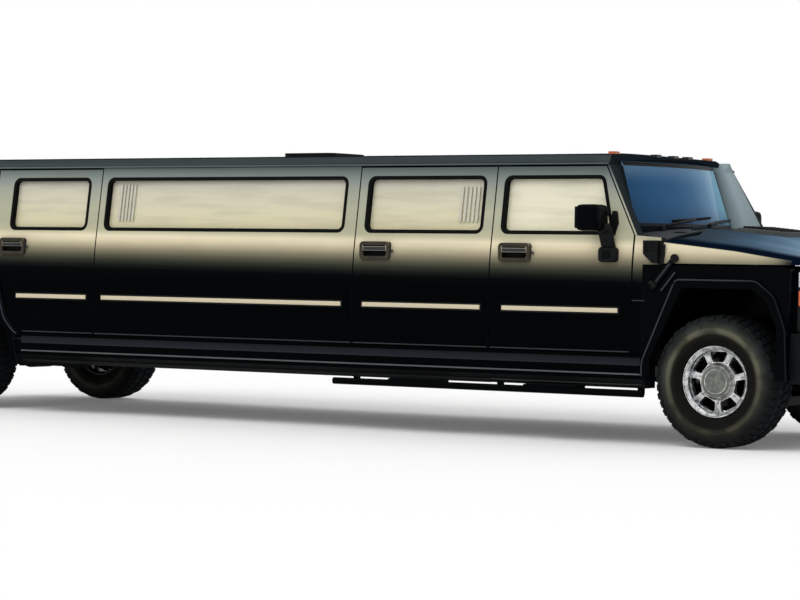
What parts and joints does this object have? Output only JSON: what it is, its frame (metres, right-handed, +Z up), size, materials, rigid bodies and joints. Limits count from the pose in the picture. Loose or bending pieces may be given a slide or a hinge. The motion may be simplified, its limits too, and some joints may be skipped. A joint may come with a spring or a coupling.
{
  "type": "stretch limousine",
  "caption": "Stretched off-road limousine on four wheels, with hinged side doors, tailgate and hood, steered front wheels, cabin with lounge seating and side steps.",
  "frame": {"origin": "on the ground, under the middle of the overall length and width", "axes": "+X points forward, +Y to the left, +Z up"},
  "size_m": [8.376, 2.4658, 1.9919],
  "materials": {
    "paint": "two-tone gloss lacquer: near black below the waist, fading to pale champagne under the windows",
    "tint_glass": "mirror-tinted glass",
    "windshield_glass": "blue-tinted laminated glass",
    "chrome": "bright chrome",
    "trim_black": "grained black plastic",
    "frame_black": "satin black chassis paint",
    "lamp_clear": "clear lens",
    "lamp_red": "red lens",
    "lamp_amber": "amber lens",
    "cast_metal": "rough cast metal",
    "steel": "dull exhaust steel",
    "seat_leather": "dark leather",
    "tyre": "black rubber"
  },
  "bodies": {
    "body": {"chassis_frame": "frame_black", "floor_pan": "frame_black", "rear_wheelhouses": "frame_black", "side_wall_left": "paint", "side_wall_right": "paint", "roof_panel": "paint", "roof_hatch": "trim_black", "windshield_frame": "paint", "windshield": "windshield_glass", "fixed_side_glass": "tint_glass", "long_window_louvres": "chrome", "front_fenders": "paint", "cowl_vents": "trim_black", "grille": "paint", "headlamps": "lamp_clear", "front_bumper": "trim_black", "rear_bumper": "trim_black", "tail_lamps": "lamp_red", "marker_lamps": "lamp_amber", "side_steps": "frame_black", "engine_block": "cast_metal", "front_suspension": "frame_black", "rear_axle": "frame_black", "exhaust": "steel", "hinge_arms": "frame_black", "dashboard": "trim_black", "front_seats": "seat_leather", "lounge_seats": "seat_leather"},
    "front_door_left_leaf": {"front_door_left": "paint", "front_door_glass_left": "tint_glass", "mirror_left": "trim_black"},
    "second_door_left_leaf": {"second_door_left": "paint", "second_door_glass_left": "tint_glass", "second_louvre_left": "chrome"},
    "rear_door_left_leaf": {"rear_door_left": "paint", "rear_door_glass_left": "tint_glass"},
    "front_door_right_leaf": {"front_door_right": "paint", "front_door_glass_right": "tint_glass", "mirror_right": "trim_black"},
    "second_door_right_leaf": {"second_door_right": "paint", "second_door_glass_right": "tint_glass", "second_louvre_right": "chrome"},
    "rear_door_right_leaf": {"rear_door_right": "paint", "rear_door_glass_right": "tint_glass"},
    "hood_lid": {"hood": "paint"},
    "tailgate_leaf": {"tailgate": "paint", "tailgate_glass": "tint_glass"},
    "steer_left": {"knuckle_left": "cast_metal"},
    "steer_right": {"knuckle_right": "cast_metal"},
    "wheel_front_left": {"rim_front_left": "chrome", "tyre_front_left": "tyre"},
    "wheel_front_right": {"rim_front_right": "chrome", "tyre_front_right": "tyre"},
    "wheel_rear_left": {"rim_rear_left": "chrome", "tyre_rear_left": "tyre"},
    "wheel_rear_right": {"rim_rear_right": "chrome", "tyre_rear_right": "tyre"}
  },
  "joints": [
    {"name": "front_door_left_hinge", "type": "hinge", "parent": "body", "child": "front_door_left_leaf", "pos_m": [2.6855, 1.005, 0.84], "axis": [0, 0, -1], "range_deg": [0, 65]},
    {"name": "second_door_left_hinge", "type": "hinge", "parent": "body", "child": "second_door_left_leaf", "pos_m": [1.5705, 1.005, 0.84], "axis": [0, 0, -1], "range_deg": [0, 65]},
    {"name": "rear_door_left_hinge", "type": "hinge", "parent": "body", "child": "rear_door_left_leaf", "pos_m": [-1.9495, 1.005, 0.84], "axis": [0, 0, -1], "range_deg": [0, 65]},
    {"name": "front_door_right_hinge", "type": "hinge", "parent": "body", "child": "front_door_right_leaf", "pos_m": [2.6855, -1.005, 0.84], "axis": [0, 0, 1], "range_deg": [0, 65]},
    {"name": "second_door_right_hinge", "type": "hinge", "parent": "body", "child": "second_door_right_leaf", "pos_m": [1.5705, -1.005, 0.84], "axis": [0, 0, 1], "range_deg": [0, 65]},
    {"name": "rear_door_right_hinge", "type": "hinge", "parent": "body", "child": "rear_door_right_leaf", "pos_m": [-1.9495, -1.005, 0.84], "axis": [0, 0, 1], "range_deg": [0, 65]},
    {"name": "hood_hinge", "type": "hinge", "parent": "body", "child": "hood_lid", "pos_m": [3.858, 0, 1.205], "axis": [0, 1, 0], "range_deg": [0, 50]},
    {"name": "tailgate_hinge", "type": "hinge", "parent": "body", "child": "tailgate_leaf", "pos_m": [-4.043, 0, 1.8235], "axis": [0, 1, 0], "range_deg": [0, 80]},
    {"name": "steer_left", "type": "hinge", "parent": "body", "child": "steer_left", "pos_m": [3.338, 0.811, 0.437], "axis": [0, 0, 1], "range_deg": [-33, 33]},
    {"name": "steer_right", "type": "hinge", "parent": "body", "child": "steer_right", "pos_m": [3.338, -0.811, 0.437], "axis": [0, 0, 1], "range_deg": [-33, 33]},
    {"name": "wheel_front_left_spin", "type": "hinge", "parent": "steer_left", "child": "wheel_front_left", "pos_m": [3.338, 0.8815, 0.437], "axis": [0, 1, 0], "continuous": true},
    {"name": "wheel_front_right_spin", "type": "hinge", "parent": "steer_right", "child": "wheel_front_right", "pos_m": [3.338, -0.8815, 0.437], "axis": [0, 1, 0], "continuous": true},
    {"name": "wheel_rear_left_spin", "type": "hinge", "parent": "body", "child": "wheel_rear_left", "pos_m": [-3.337, 0.8815, 0.437], "axis": [0, 1, 0], "continuous": true},
    {"name": "wheel_rear_right_spin", "type": "hinge", "parent": "body", "child": "wheel_rear_right", "pos_m": [-3.337, -0.8815, 0.437], "axis": [0, 1, 0], "continuous": true}
  ],
  "couplings": [
    {"joint": "steer_right", "follows": "steer_left", "ratio": 1}
  ]
}
